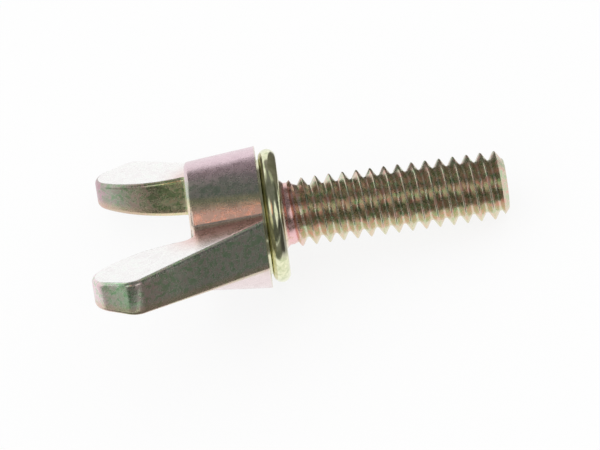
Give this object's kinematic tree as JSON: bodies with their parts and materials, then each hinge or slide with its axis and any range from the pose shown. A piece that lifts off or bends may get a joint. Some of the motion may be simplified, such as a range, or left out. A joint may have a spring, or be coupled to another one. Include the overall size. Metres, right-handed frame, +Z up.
{
  "type": "wing screw",
  "caption": "Forged steel wing screw for tightening by hand: coarse rolled thread, round collar, tapered hub and flared, thinning wings, in iridescent yellow zinc.",
  "frame": {"origin": "middle of the lying screw's box in X and Y, at the height of the surface it lies on", "axes": "+Z up from the surface, the thread's end toward +X, the head and wings toward -X, the raised wing toward -Y and the wing that touches the surface toward +Y"},
  "size_m": [0.0388, 0.0302, 0.0166],
  "materials": {
    "yellow_zinc_steel": "iridescent yellow zinc over cold-formed steel, satin to glossy, with green and pink tints"
  },
  "bodies": {
    "root": {"wing_screw": "yellow_zinc_steel"}
  },
  "joints": []
}
